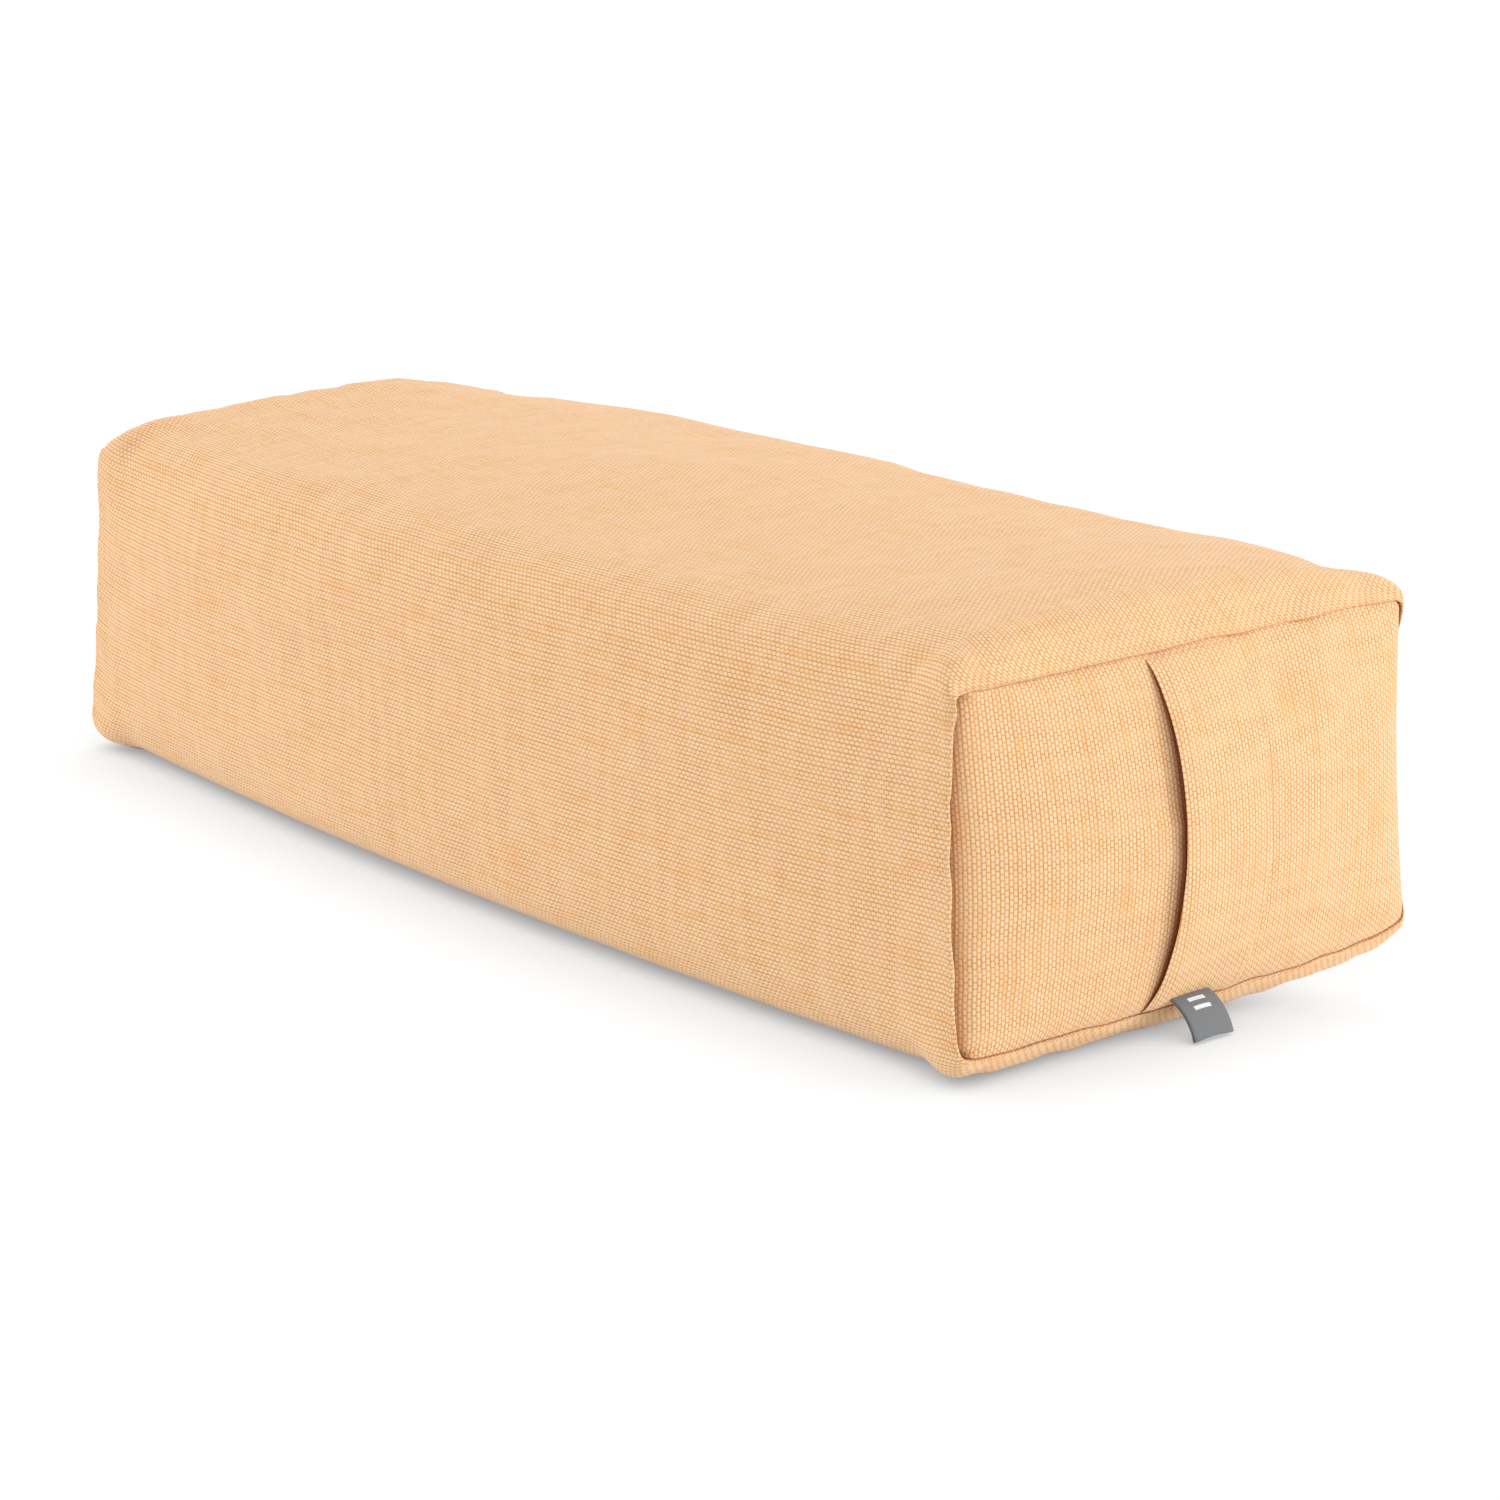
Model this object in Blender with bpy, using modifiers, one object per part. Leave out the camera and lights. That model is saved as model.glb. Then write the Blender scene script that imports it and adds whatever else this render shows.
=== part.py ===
"""Rectangular yoga bolster: zipped fabric cover, end handle, folded tag, inner bag and filling.

Metres, +Z up. +X points to the handle end and +Y to the zipped long side. The origin is on the
floor, under the middle of the cushion, halfway between its two end seams.
"""
from math import asin, cos, pi, sin

import bmesh
import bpy

# The stuffed cover
SEAM_LENGTH = 0.650      # between the two end seams
WIDTH = 0.260            # of an end panel
HEIGHT = 0.151           # of an end panel
CORNER_LIFT = 0.010      # the end panels' bottom seams above the floor
TOP_PULL = 0.010         # how far the top end seams lean inwards
LEAN_POWER = 6           # how fast that lean fades away from an end
PLAIN_BULGE = 0.0155     # of the plain long side, beyond the end panel's edge
ZIP_BULGE = 0.009        # of the long side that the zip holds straight
TOP_CROWN = 0.012        # of the top, above the end panel's top seam
BELLY = 0.003            # how far the underside would sag below the floor that flattens it
END_DOME = 0.020         # bulge of an end panel
FULL_PART = 0.74         # part of the length that keeps the full middle section
ROUNDING = 0.7           # exponent of the fall from there to an end seam
END_SQUARENESS = 11.0    # superellipse exponent at an end seam
MIDDLE_SQUARENESS = 5.0  # superellipse exponent in the middle
DOME_SCALES = (1.0, 0.9, 0.75, 0.5, 0.25)  # of an end panel's rings, from its edge inwards
FABRIC = 0.0012
GAP = 0.0003             # between pieces that touch

# The inner bag and the filling, measured inwards from the cover's outer surface
BAG_INSET = 0.0045
BAG_FABRIC = 0.0005
BAG_SHORTER = 0.0025     # at each end
BAG_DOME = 0.018
FILLING_INSET = 0.0056
FILLING_SHORTER = 0.0036
FILLING_DOME = 0.017

# The handle band over the front end panel
BAND_WIDTH = 0.052
BAND_THICKNESS = 0.0024
HAND_GAP = 0.009         # between the band and the panel, at mid height
GRIP_PART = 0.55         # part of the half height that the moving grip spans
SEAM_PART = 0.97         # part of the half height that the whole band spans

# The folded tag in the front bottom seam
TAG_WIDTH = 0.022
TAG_Y = -0.0055
TAG_REACH = 0.0185
TAG_DROP = 0.0085
TAG_TURN = pi / 3        # slope of the tag at its drooping end
TAG_THICKNESS = 0.0008
TAG_SEAM_END = 0.0055    # reach of the part that the seam holds still

# The zip in the rear long side
ZIP_Z = 0.060
ZIP_LENGTH = 0.440
SLOT_HEIGHT = 0.009
SLOT_DEPTH = 0.010       # of its cutter, either side of the cover's surface
TAPE_GAP = 0.0008        # between the cover's inside and the tapes
TAPE_THICKNESS = 0.0006
TAPE_REACH = 0.0130      # a tape's outer edge from the zip's centre line
CHAIN_GAP = 0.0008       # half of the gap between the two rows
COIL_HEIGHT = 0.0022
COIL_THICKNESS = 0.0015
STOP_LENGTH = 0.0025
SLIDER_LENGTH = 0.0095
SLIDER_WIDTH = 0.0074
PLATE = 0.0010
NECK = 0.0008
BAIL_WIDTH = 0.0016
BAIL_LENGTH = 0.0062
BAIL_ROOM = 0.0017
BAIL_BAR = 0.0008
PULL_WIDTH = 0.0050
PULL_LENGTH = 0.0240
PULL_THICKNESS = 0.0010
PULL_EYE_WIDTH = 0.0028
PULL_EYE_LENGTH = 0.0037

# Mesh fineness: points along a half width and a half height, stations along the length
FINE = (7, 5, 20)
COARSE = (4, 3, 12)
BAND_ROWS = {"strap": 6, "grip": 14}
SHARP_ANGLE = pi / 5

COVER_COLOUR = (0.90, 0.61, 0.34)
COTTON_COLOUR = (0.86, 0.83, 0.76)
TAG_COLOUR = (0.21, 0.22, 0.23)
TAPE_COLOUR = (0.87, 0.60, 0.36)
COIL_COLOUR = (0.84, 0.58, 0.36)
METAL_COLOUR = (0.55, 0.54, 0.52)
FIBRE_COLOUR = (0.93, 0.92, 0.89)

HALF = SEAM_LENGTH / 2
PANEL_X = HALF + GAP
TAPE_OUT = -FABRIC - TAPE_GAP
TAPE_IN = TAPE_OUT - TAPE_THICKNESS
COIL_OUT = TAPE_OUT + GAP + COIL_THICKNESS
PLATE_OUT = COIL_OUT + GAP + PLATE
AXIS_OUT = PLATE_OUT + BAIL_ROOM / 2
SLIDER_X = ZIP_LENGTH / 2 - STOP_LENGTH - GAP - SLIDER_LENGTH / 2


def clear_scene():
    for old in list(bpy.data.objects):
        bpy.data.objects.remove(old, do_unlink=True)


def new_collection(name):
    collection = bpy.data.collections.new(name)
    bpy.context.scene.collection.children.link(collection)
    return collection


def new_material(name, colour, roughness, metallic=0.0):
    material = bpy.data.materials.new(name)
    material.use_nodes = True
    shader = material.node_tree.nodes["Principled BSDF"]
    shader.inputs["Base Color"].default_value = (*colour, 1.0)
    shader.inputs["Roughness"].default_value = roughness
    shader.inputs["Metallic"].default_value = metallic
    return material


def add_part(name, bm, colour, roughness, metallic=0.0, origin=(0, 0, 0)):
    """Make an object from a bmesh in world coordinates, with its origin where its joint is."""
    bmesh.ops.translate(bm, verts=bm.verts, vec=[-value for value in origin])
    bmesh.ops.recalc_face_normals(bm, faces=bm.faces)
    mesh = bpy.data.meshes.new(name)
    bm.to_mesh(mesh)
    bm.free()
    mesh.shade_smooth()
    mesh.set_sharp_from_angle(angle=SHARP_ANGLE)
    part = bpy.data.objects.new(name, mesh)
    part.location = origin
    part.data.materials.append(new_material(name + "_material", colour, roughness, metallic))
    PARTS.objects.link(part)
    return part


def thicken(part, thickness, offset):
    solid = part.modifiers.new("thickness", 'SOLIDIFY')
    solid.thickness = thickness
    solid.offset = offset


def fullness(x):
    """1 in the middle of the length, falling round to 0 at an end seam."""
    past = max(0.0, (abs(x) / HALF - FULL_PART) / (1 - FULL_PART))
    return max(0.0, 1 - past ** 2) ** ROUNDING


def section_size(x, inset):
    """Half widths, half height, centre height and squareness of the section at x.

    The half widths are those of the plain side and of the side with the zip.
    """
    full = fullness(x)
    top = CORNER_LIFT + HEIGHT + TOP_CROWN * full
    bottom = CORNER_LIFT * (1 - full) - BELLY * full
    plain_side = WIDTH / 2 + PLAIN_BULGE * max(0.0, 1 - (x / HALF) ** 2) - inset
    zip_side = WIDTH / 2 + ZIP_BULGE * full - inset
    half_height = (top - bottom) / 2 - inset
    squareness = END_SQUARENESS + (MIDDLE_SQUARENESS - END_SQUARENESS) * full
    return (plain_side, zip_side), half_height, (top + bottom) / 2, squareness


def lean(x, y, z):
    """Lean the ends inwards towards their top seams."""
    near_end = min(1.0, abs(x) / HALF) ** LEAN_POWER
    pull = TOP_PULL * near_end * (z - CORNER_LIFT) / HEIGHT
    return x - pull if x > 0 else x + pull, y, z


def rectangle_points(across, up):
    """Points round the square from -1 to 1, evenly spaced on each side."""
    right = [(1, -1 + k / up) for k in range(2 * up)]
    top = [(1 - k / across, 1) for k in range(2 * across)]
    return right + top + [(-y, -z) for y, z in right + top]


def section(x, inset, fineness):
    """Superellipse section at x, as (y, z) pairs, flattened where it meets the floor."""
    half_widths, half_height, middle, power = section_size(x, inset)
    points = []
    for y, z in rectangle_points(*fineness[:2]):
        shrink = (abs(y) ** power + abs(z) ** power) ** (-1 / power)
        height = middle + half_height * z * shrink
        points.append((half_widths[y > 0] * y * shrink, max(height, inset)))
    return points


def loft(rings, closed=True, start=None, end=None):
    """Skin a list of rings of 3-D points, with an optional centre point at each end."""
    bm = bmesh.new()
    rows = [[bm.verts.new(point) for point in ring] for ring in rings]
    size = len(rows[0])
    spans = [(k, (k + 1) % size) for k in range(size if closed else size - 1)]
    for row, after in zip(rows, rows[1:]):
        for a, b in spans:
            bm.faces.new((row[a], row[b], after[b], after[a]))
    for centre, row in ((start, rows[0]), (end, rows[-1])):
        if centre:
            tip = bm.verts.new(centre)
            for a, b in spans:
                bm.faces.new((row[a], row[b], tip))
    return bm


def wrap_rings(inset, shorter, fineness):
    """Sections along the cushion, closer together towards its ends."""
    count = fineness[2]
    rings = []
    for k in range(count + 1):
        along = sin(pi / 2 * (2 * k / count - 1))
        outline = section(along * HALF, inset, fineness)
        rings.append([lean(along * (HALF - shorter), y, z) for y, z in outline])
    return rings


def dome_rings(side, seam_x, dome, inset, fineness):
    """Rings of an end, from its outline to its centre, and the centre point."""
    (half_width, _), half_height, middle, _ = section_size(HALF, inset)
    outline = section(HALF, inset, fineness)
    rings = []
    for scale in DOME_SCALES:
        ring = []
        for y, z in outline:
            across, up = y * scale / half_width, (z - middle) * scale / half_height
            bulge = dome * (1 - across ** 2) * (1 - up ** 2)
            height = middle + (z - middle) * scale
            ring.append(lean(side * (seam_x + bulge), y * scale, height))
        rings.append(ring)
    return rings, lean(side * (seam_x + dome), 0, middle)


def box_mesh(low, high):
    bm = bmesh.new()
    bmesh.ops.create_cube(bm, size=1.0)
    size = [b - a for a, b in zip(low, high)]
    centre = [(a + b) / 2 for a, b in zip(low, high)]
    bmesh.ops.scale(bm, verts=bm.verts, vec=size)
    bmesh.ops.translate(bm, verts=bm.verts, vec=centre)
    return bm


def add_cutter(name, low, high):
    mesh = bpy.data.meshes.new(name)
    bm = box_mesh(low, high)
    bm.to_mesh(mesh)
    bm.free()
    cutter = bpy.data.objects.new(name, mesh)
    cutter.hide_render = True
    cutter.display_type = 'WIRE'
    CUTTERS.objects.link(cutter)
    return cutter


def combine(part, tool, operation):
    step = part.modifiers.new(tool.name, 'BOOLEAN')
    step.object = tool
    step.operation = operation
    step.solver = 'EXACT'


def zip_wall():
    """Y of the cover's outer surface at the zip."""
    (_, half_width), half_height, middle, power = section_size(0, 0)
    return half_width * (1 - (abs(ZIP_Z - middle) / half_height) ** power) ** (1 / power)


def zip_box(along, out, up):
    """Box beside the zip: ranges along X, outwards from the cover's surface, and up."""
    wall = zip_wall()
    low = (along[0], wall + out[0], ZIP_Z + up[0])
    high = (along[1], wall + out[1], ZIP_Z + up[1])
    return low, high


def make_cover_wrap():
    bm = loft(wrap_rings(0, 0, FINE))
    part = add_part("cover_wrap", bm, COVER_COLOUR, 0.9)
    thicken(part, FABRIC, -1)
    length = ZIP_LENGTH + 4 * GAP
    slot = ((-length / 2, length / 2), (-SLOT_DEPTH, SLOT_DEPTH), (-SLOT_HEIGHT / 2, SLOT_HEIGHT / 2))
    combine(part, add_cutter("zip_slot", *zip_box(*slot)), 'DIFFERENCE')


def make_end_panel(name, side):
    rings, centre = dome_rings(side, PANEL_X, END_DOME, 0, FINE)
    part = add_part(name, loft(rings, end=centre), COVER_COLOUR, 0.9)
    thicken(part, FABRIC, 1 if face_out(part, side) else -1)


def face_out(part, side):
    """Whether an open end sheet's faces point away from the cushion."""
    return sum(face.normal.x for face in part.data.polygons) * side > 0


def make_inner_bag():
    wrap = add_part("inner_wrap", loft(wrap_rings(BAG_INSET, BAG_SHORTER, COARSE)), COTTON_COLOUR, 0.85)
    thicken(wrap, BAG_FABRIC, -1)
    for name, side in (("inner_end_front", 1), ("inner_end_rear", -1)):
        seam_x = HALF - BAG_SHORTER + GAP
        rings, centre = dome_rings(side, seam_x, BAG_DOME, BAG_INSET, COARSE)
        end = add_part(name, loft(rings, end=centre), COTTON_COLOUR, 0.85)
        thicken(end, BAG_FABRIC, 1 if face_out(end, side) else -1)


def make_filling():
    seam_x = HALF - FILLING_SHORTER
    rear, rear_tip = dome_rings(-1, seam_x, FILLING_DOME, FILLING_INSET, COARSE)
    front, front_tip = dome_rings(1, seam_x, FILLING_DOME, FILLING_INSET, COARSE)
    middle = wrap_rings(FILLING_INSET, FILLING_SHORTER, COARSE)[1:-1]
    bm = loft(rear[::-1] + middle + front, start=rear_tip, end=front_tip)
    add_part("filling", bm, FIBRE_COLOUR, 0.95)


def band_strip(low, high, count):
    """Rows across the handle band between two heights, as parts of the end's half height."""
    _, half_height, middle, _ = section_size(HALF, 0)
    foot = PANEL_X + FABRIC + GAP
    rows = []
    for k in range(count + 1):
        up = low + (high - low) * k / count
        x = foot + (END_DOME + HAND_GAP) * (1 - up ** 2)
        z = middle + half_height * up
        rows.append([lean(x, y, z) for y in (-BAND_WIDTH / 2, 0, BAND_WIDTH / 2)])
    return rows


def make_handle():
    _, half_height, middle, _ = section_size(HALF, 0)
    split = GAP / half_height
    grip_origin = lean(PANEL_X + FABRIC + GAP + END_DOME + HAND_GAP, 0, middle)
    pieces = (("handle_strap_bottom", -SEAM_PART, -GRIP_PART - split, "strap", (0, 0, 0)),
              ("handle_grip", -GRIP_PART, GRIP_PART, "grip", grip_origin),
              ("handle_strap_top", GRIP_PART + split, SEAM_PART, "strap", (0, 0, 0)))
    for name, low, high, kind, origin in pieces:
        bm = loft(band_strip(low, high, BAND_ROWS[kind]), closed=False)
        part = add_part(name, bm, COVER_COLOUR, 0.9, origin=origin)
        thicken(part, BAND_THICKNESS, 1 if face_out(part, 1) else -1)


def tag_rows(low, high, count):
    """Rows across the tag between two reaches; it leaves the seam level and droops."""
    rows = []
    for k in range(count + 1):
        reach = low + (high - low) * k / count
        turn = asin(reach / TAG_REACH * sin(TAG_TURN))
        drop = TAG_DROP * (1 - cos(turn)) / (1 - cos(TAG_TURN))
        x, z = PANEL_X + FABRIC + GAP + reach, CORNER_LIFT - GAP - drop
        rows.append([(x, TAG_Y + y, z) for y in (-TAG_WIDTH / 2, TAG_WIDTH / 2)])
    return rows


def make_label():
    """Folded tag: its sewn end stays still and the rest turns about the top of the split."""
    split = tag_rows(TAG_SEAM_END, TAG_SEAM_END, 1)[0][0]
    axis = (split[0], TAG_Y, split[2] + TAG_THICKNESS / 2)
    seam_end = tag_rows(0, TAG_SEAM_END - GAP / 2, 2)
    flap = tag_rows(TAG_SEAM_END + GAP / 2, TAG_REACH, 6)
    for name, rows, origin in (("label_seam_end", seam_end, (0, 0, 0)), ("label", flap, axis)):
        part = add_part(name, loft(rows, closed=False), TAG_COLOUR, 0.8, origin=origin)
        thicken(part, TAG_THICKNESS, 0)


def make_zip_tapes_and_coils():
    half = ZIP_LENGTH / 2
    coil_half = half - STOP_LENGTH - GAP
    for name, side in (("upper", 1), ("lower", -1)):
        tape_up = sorted((side * CHAIN_GAP, side * TAPE_REACH))
        tape = box_mesh(*zip_box((-half, half), (TAPE_IN, TAPE_OUT), tape_up))
        add_part("zip_tape_" + name, tape, TAPE_COLOUR, 0.85)
        coil_up = sorted((side * CHAIN_GAP, side * (CHAIN_GAP + COIL_HEIGHT)))
        coil = box_mesh(*zip_box((-coil_half, coil_half), (TAPE_OUT + GAP, COIL_OUT), coil_up))
        add_part("zip_coil_" + name, coil, COIL_COLOUR, 0.5)
        stop_along = (half - STOP_LENGTH, half)
        stop = box_mesh(*zip_box(stop_along, (TAPE_OUT + GAP, COIL_OUT), coil_up))
        add_part("zip_top_stop_" + name, stop, METAL_COLOUR, 0.35, 1.0)
    stop_up = (-CHAIN_GAP - COIL_HEIGHT, CHAIN_GAP + COIL_HEIGHT)
    stop_along = (-half, -half + STOP_LENGTH)
    stop = box_mesh(*zip_box(stop_along, (TAPE_OUT + GAP, COIL_OUT), stop_up))
    add_part("zip_bottom_stop", stop, METAL_COLOUR, 0.35, 1.0)


def make_zip_slider():
    """Two plates either side of the chain, the neck between them, and the bail for the pull."""
    half = SLIDER_LENGTH / 2
    width = (-SLIDER_WIDTH / 2, SLIDER_WIDTH / 2)
    along = (SLIDER_X - half, SLIDER_X + half)
    outer = box_mesh(*zip_box(along, (PLATE_OUT - PLATE, PLATE_OUT), width))
    origin = (SLIDER_X, zip_wall() + PLATE_OUT, ZIP_Z)
    slider = add_part("zip_slider", outer, METAL_COLOUR, 0.3, 1.0, origin=origin)
    inner_out = TAPE_IN - GAP
    neck_along = (SLIDER_X + half - 3 * PLATE, SLIDER_X + half - PLATE)
    bail_width = (-BAIL_WIDTH / 2, BAIL_WIDTH / 2)
    bail_top = PLATE_OUT + BAIL_ROOM + BAIL_BAR
    lap = PLATE / 2
    bail = ((SLIDER_X - BAIL_LENGTH / 2, SLIDER_X + BAIL_LENGTH / 2), (PLATE_OUT - lap, bail_top), bail_width)
    room_half = BAIL_LENGTH / 2 - BAIL_BAR
    room = ((SLIDER_X - room_half, SLIDER_X + room_half), (PLATE_OUT, PLATE_OUT + BAIL_ROOM), width)
    inner = (along, (inner_out - PLATE, inner_out), width)
    neck = (neck_along, (inner_out - lap, PLATE_OUT - lap), (-NECK / 2, NECK / 2))
    combine(slider, add_cutter("slider_inner_plate", *zip_box(*inner)), 'UNION')
    combine(slider, add_cutter("slider_neck", *zip_box(*neck)), 'UNION')
    combine(slider, add_cutter("slider_bail", *zip_box(*bail)), 'UNION')
    combine(slider, add_cutter("slider_bail_room", *zip_box(*room)), 'DIFFERENCE')


def make_zip_pull():
    """Flat tab with an eye; its crossbar turns under the slider's bail."""
    origin = (SLIDER_X, zip_wall() + AXIS_OUT, ZIP_Z)
    bar = PULL_THICKNESS / 2
    out = (AXIS_OUT - bar, AXIS_OUT + bar)
    tab = box_mesh(*zip_box((SLIDER_X - PULL_LENGTH, SLIDER_X + bar), out,
                            (-PULL_WIDTH / 2, PULL_WIDTH / 2)))
    pull = add_part("zip_pull", tab, METAL_COLOUR, 0.3, 1.0, origin=origin)
    eye = ((SLIDER_X - bar - PULL_EYE_LENGTH, SLIDER_X - bar),
           (out[0] - PULL_THICKNESS, out[1] + PULL_THICKNESS),
           (-PULL_EYE_WIDTH / 2, PULL_EYE_WIDTH / 2))
    combine(pull, add_cutter("pull_eye", *zip_box(*eye)), 'DIFFERENCE')


clear_scene()
PARTS = new_collection("yoga_bolster")
CUTTERS = new_collection("cutters")
make_cover_wrap()
make_end_panel("end_panel_front", 1)
make_end_panel("end_panel_rear", -1)
make_handle()
make_label()
make_zip_tapes_and_coils()
make_zip_slider()
make_zip_pull()
make_inner_bag()
make_filling()
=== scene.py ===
"""Looks of the rectangular yoga bolster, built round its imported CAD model."""

from math import cos, pi, radians, sin

import bmesh
import bpy
import numpy as np
from mathutils import Matrix, Vector
from mathutils.kdtree import KDTree


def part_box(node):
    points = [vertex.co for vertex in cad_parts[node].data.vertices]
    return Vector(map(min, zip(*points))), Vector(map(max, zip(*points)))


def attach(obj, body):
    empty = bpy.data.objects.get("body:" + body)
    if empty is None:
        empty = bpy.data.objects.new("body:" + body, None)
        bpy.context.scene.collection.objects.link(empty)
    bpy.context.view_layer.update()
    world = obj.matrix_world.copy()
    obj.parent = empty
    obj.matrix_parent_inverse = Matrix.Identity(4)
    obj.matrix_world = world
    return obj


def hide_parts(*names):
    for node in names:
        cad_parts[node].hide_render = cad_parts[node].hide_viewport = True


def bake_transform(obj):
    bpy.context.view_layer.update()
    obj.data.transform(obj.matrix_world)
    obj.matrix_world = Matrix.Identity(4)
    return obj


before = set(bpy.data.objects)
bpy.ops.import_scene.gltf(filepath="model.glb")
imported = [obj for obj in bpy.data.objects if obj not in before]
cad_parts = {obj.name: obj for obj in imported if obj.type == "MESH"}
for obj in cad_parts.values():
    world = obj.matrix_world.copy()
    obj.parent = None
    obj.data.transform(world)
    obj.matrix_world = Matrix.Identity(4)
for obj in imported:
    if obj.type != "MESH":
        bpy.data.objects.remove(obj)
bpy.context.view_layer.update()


def corners(node):
    """A CAD node's lower and upper corners."""
    low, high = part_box(node)
    return np.array(low), np.array(high)


# Places taken from the frame
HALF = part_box("cover_wrap")[1][0]    # of the length between the end seams
ZIP_LOW, ZIP_HIGH = corners("zip_coil_upper")
SLIDER_LOW, SLIDER_HIGH = corners("zip_slider")
PULL_LOW, PULL_HIGH = corners("zip_pull")
SLOT_HALF_LENGTH = corners("zip_tape_upper")[1][0] + 0.0006
ZIP_Z = (SLIDER_LOW[2] + SLIDER_HIGH[2]) / 2
WALL_Y = PULL_LOW[1] - 0.00145       # outer face of the cover beside the zip

# The stuffed shape, in metres; front is the handle's end, and the zip's side is +Y
WIDTH = 0.260
HEIGHT = 0.151
LIFT = 0.0105            # bottom end seams above the floor
TOP_PULL = {1: 0.0085, -1: 0.0150}    # lean of the front and rear ends
SHOULDER_PULL = 0.0019   # top seams' corners pulled in sideways
PLAIN_BULGE = 0.0158
ZIP_BULGE = WALL_Y - WIDTH / 2
CROWN = 0.0080
CROWN_TILT = 0.0046      # the top is higher towards the handle end
CROWN_ENDS = 0.0060      # and a little fuller just before the seams
CROSS_CROWN = 0.0050
BELLY = 0.0050           # the underside's fullness, that the floor presses flat
FULL_PART = 0.90         # share of the length with the full section, then that of the zip's side
ZIP_FULL_PART = 0.74
SHOULDER_POWER = 0.67    # how suddenly the section narrows beyond it
PLAIN_POWER = 1.13
END_SQUARENESS = 30.0    # power of the section's superellipse at the seams and in the middle
MIDDLE_SQUARENESS = 6.2
FAR_CORNER_DROP = 0.024  # slack top corner of the rear end, on the zip side
NEAR_CORNER_DROP = 0.008     # the rear end's other top corner
ZIP_CORNER_DROP = 0.0036     # the front end's top, beside its corner on the zip side
CORNER_RISE = 0.0068     # the front end's bottom corner on the zip side
HUMPS = ((-0.10, 0.13, 0.0040), (0.74, 0.11, 0.0034))    # place along, width, height
END_DOME = 0.0205
DOME_POWER = 0.72
SEAM_BOW = 0.0048        # the upright end seams are drawn in at half height
ZIP_EDGE_BOW = 0.0032    # and those on the zip side are drawn in sideways too
EAR = {(1, -1): 0.0036, (1, 1): 0.0022, (-1, -1): 0.0006, (-1, 1): 0.0006}    # by end and side
EAR_REACH = 0.009
PINCH = 0.0032           # of the seams just beside the front end's near top corner
ROLL = 0.0008            # radius of the folded fabric edges at a seam
SEAM_DEPTH = 0.0045      # reach of those edges into the cushion
PANEL_INSET = 0.0012     # of an end panel's edge, from the wrap's outer surface
ZIP_SIDE_TURN = 0.0050   # extra fullness of an end panel beside its seam on the zip side
HEM_DEPTH = 0.0085       # reach of an end panel's hem into the cushion
HEM_INSET = 0.0022       # and its distance from the wrap's outer surface there
BAG_SHORTER = 0.010      # the inner bag's ends stay behind the end seams' grooves
SEAM_WAVE = 0.0005
SEAM_SHADE_CUT = 0.75     # how much of the painted shade the gaps of the top and bottom end seams lose
SEAM_SHADE_CUT_REACH = 0.016
WRINKLE_CAP = 0.0010     # most that a simulated wrinkle moves a point
WRINKLE_SHARE = 0.26
SIMULATED_FRAMES = 20
FABRIC = 0.0011          # thickness of the cover

# Points along and round the wrap, and over an end panel
WRAP_ROWS = 172
PANEL_ROWS = 92
PANEL_COLUMNS = 132

# The inner bag and the filling: distance inside the cover's surface, and end dome
BAG_INSET, BAG_DOME = 0.0050, 0.0150
FILLING_INSET, FILLING_DOME = 0.0062, 0.0140

# The handle's band
BAND_WIDTH = 0.0515
BAND_MIDDLE_Y = 0.0009
BAND_LEAN = 0.0026       # its top is sewn this much further towards the zip side
BAND_BOW = 0.0026        # and its middle lies this much nearer to it
BAND_THICKNESS = 0.0019
BAND_STAND_OFF = {-1: 0.0032, 1: 0.0008}    # of its two long edges, from the panel
BAND_ROWS = 60
BAND_SIDES = 40

# The tag
TAG_Y = -0.0055
TAG_WIDTH = 0.022
TAG_THICKNESS = 0.0004
TAG_SKEW = 0.0026        # its root is this much nearer to the plain side than its tip
TAG_CURL = 0.0160
TAG_COLUMNS = 15

# The zip and its stitching
COIL_PITCH = 0.0014
COIL_RADIUS = 0.00048
THREAD_RADIUS = 0.00026
STITCH_PITCH = 0.0031
STITCH_LENGTH = 0.0024
STITCH_ROW = 0.0072      # from the zip's line

# The weave: pairs of pale floats over orange cross yarns
FLOAT_PITCH = 0.00187
FLOAT_PERIOD = 0.00270
# colour of the painted shade in the gaps, the seams and under the band
PAINTED_SHADE_COLOUR = (160, 76, 14)


def srgb(red, green, blue):
    """Linear colour from 8-bit sRGB values."""
    linear = []
    for value in (red / 255, green / 255, blue / 255):
        linear.append(value / 12.92 if value <= 0.04045 else ((value + 0.055) / 1.055) ** 2.4)
    return (*linear, 1.0)


# ---------------- numeric helpers

def smoothstep(low, high, value):
    t = np.clip((value - low) / (high - low), 0, 1)
    return t * t * (3 - 2 * t)


def waves(points, wavelength, seed, count=14):
    """Smooth seeded noise from -1 to 1 about: a sum of plane waves near one wavelength."""
    rng = np.random.default_rng(seed)
    total = np.zeros(points.shape[:-1])
    for _ in range(count):
        direction = rng.normal(size=3)
        direction /= np.linalg.norm(direction)
        number = 2 * pi / (wavelength * rng.uniform(0.7, 1.5))
        total += np.sin(points @ direction * number + rng.uniform(0, 2 * pi))
    return total / np.sqrt(count)


def spread(low, high, count, ends=0.6):
    """Values from low to high, closer together at both ends."""
    even = np.linspace(0, 1, count)
    eased = (1 - np.cos(pi * even)) / 2
    return low + (high - low) * ((1 - ends) * even + ends * eased)


def grid_normals(points):
    along = np.gradient(points, axis=0)
    across = np.gradient(points, axis=1)
    normal = np.cross(along, across)
    return normal / np.maximum(np.linalg.norm(normal, axis=-1, keepdims=True), 1e-12)


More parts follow.
